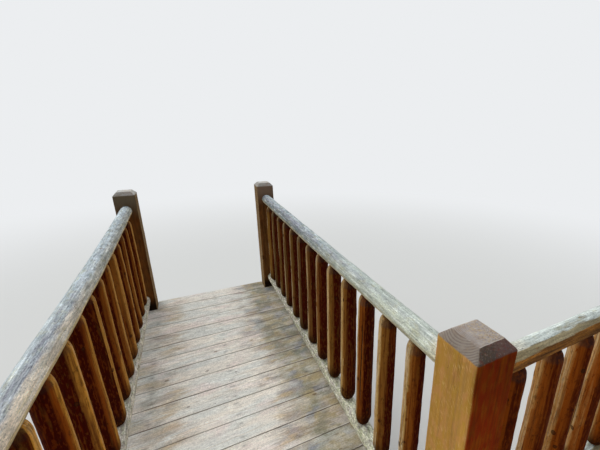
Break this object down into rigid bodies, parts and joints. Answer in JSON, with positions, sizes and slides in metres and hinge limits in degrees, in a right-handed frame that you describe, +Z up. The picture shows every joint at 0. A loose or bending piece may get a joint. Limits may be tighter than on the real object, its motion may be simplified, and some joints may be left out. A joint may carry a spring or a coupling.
{
  "type": "timber deck walkway with log railings",
  "caption": "Level boarded timber walkway between round-log railings on square posts, joined to a landing strip with log guard wings.",
  "frame": {"origin": "middle of the part's footprint at the level of the posts' feet", "axes": "+X to the right when walking off the landing, +Y along the walkway away from the landing, +Z up"},
  "size_m": [4.42, 3.143, 1.495],
  "materials": {
    "deck_board": "weathered softwood boards, grey with worn brown stain",
    "weathered_log": "peeled log, silvered and dull, with green algae in places",
    "stained_log": "peeled log with worn orange-brown oil stain, satin",
    "stained_post": "sawn square timber with orange-brown oil stain, grey end grain",
    "dark_post": "sawn square timber, dark weathered brown, grey bevelled top",
    "frame_timber": "sawn pressure-treated softwood, dull",
    "galvanised_steel": "galvanised sheet steel, dull grey"
  },
  "bodies": {
    "root": {"deck_board_01": "deck_board", "deck_board_02": "deck_board", "deck_board_03": "deck_board", "deck_board_04": "deck_board", "deck_board_05": "deck_board", "deck_board_06": "deck_board", "deck_board_07": "deck_board", "deck_board_08": "deck_board", "deck_board_09": "deck_board", "deck_board_10": "deck_board", "deck_board_11": "deck_board", "deck_board_12": "deck_board", "deck_board_13": "deck_board", "deck_board_14": "deck_board", "deck_board_15": "deck_board", "deck_board_16": "deck_board", "end_board": "deck_board", "landing_boards": "deck_board", "side_joist_left": "frame_timber", "side_joist_right": "frame_timber", "centre_joist": "frame_timber", "end_header": "frame_timber", "landing_rim": "frame_timber", "landing_ledger": "frame_timber", "landing_joists": "frame_timber", "inner_leg_left": "frame_timber", "inner_leg_right": "frame_timber", "outer_leg_left": "frame_timber", "outer_leg_right": "frame_timber", "joist_hangers": "galvanised_steel", "far_post_left": "dark_post", "far_post_right": "dark_post", "near_post_left": "stained_post", "near_post_right": "stained_post", "guard_post_left": "stained_post", "guard_post_right": "stained_post", "top_rail_left": "weathered_log", "top_rail_right": "weathered_log", "bottom_rail_left": "weathered_log", "bottom_rail_right": "weathered_log", "guard_top_rail_left": "weathered_log", "guard_top_rail_right": "weathered_log", "guard_bottom_rail_left": "weathered_log", "guard_bottom_rail_right": "weathered_log", "balusters_left": "stained_log", "balusters_right": "stained_log", "guard_balusters_left": "stained_log", "guard_balusters_right": "stained_log"}
  },
  "joints": []
}
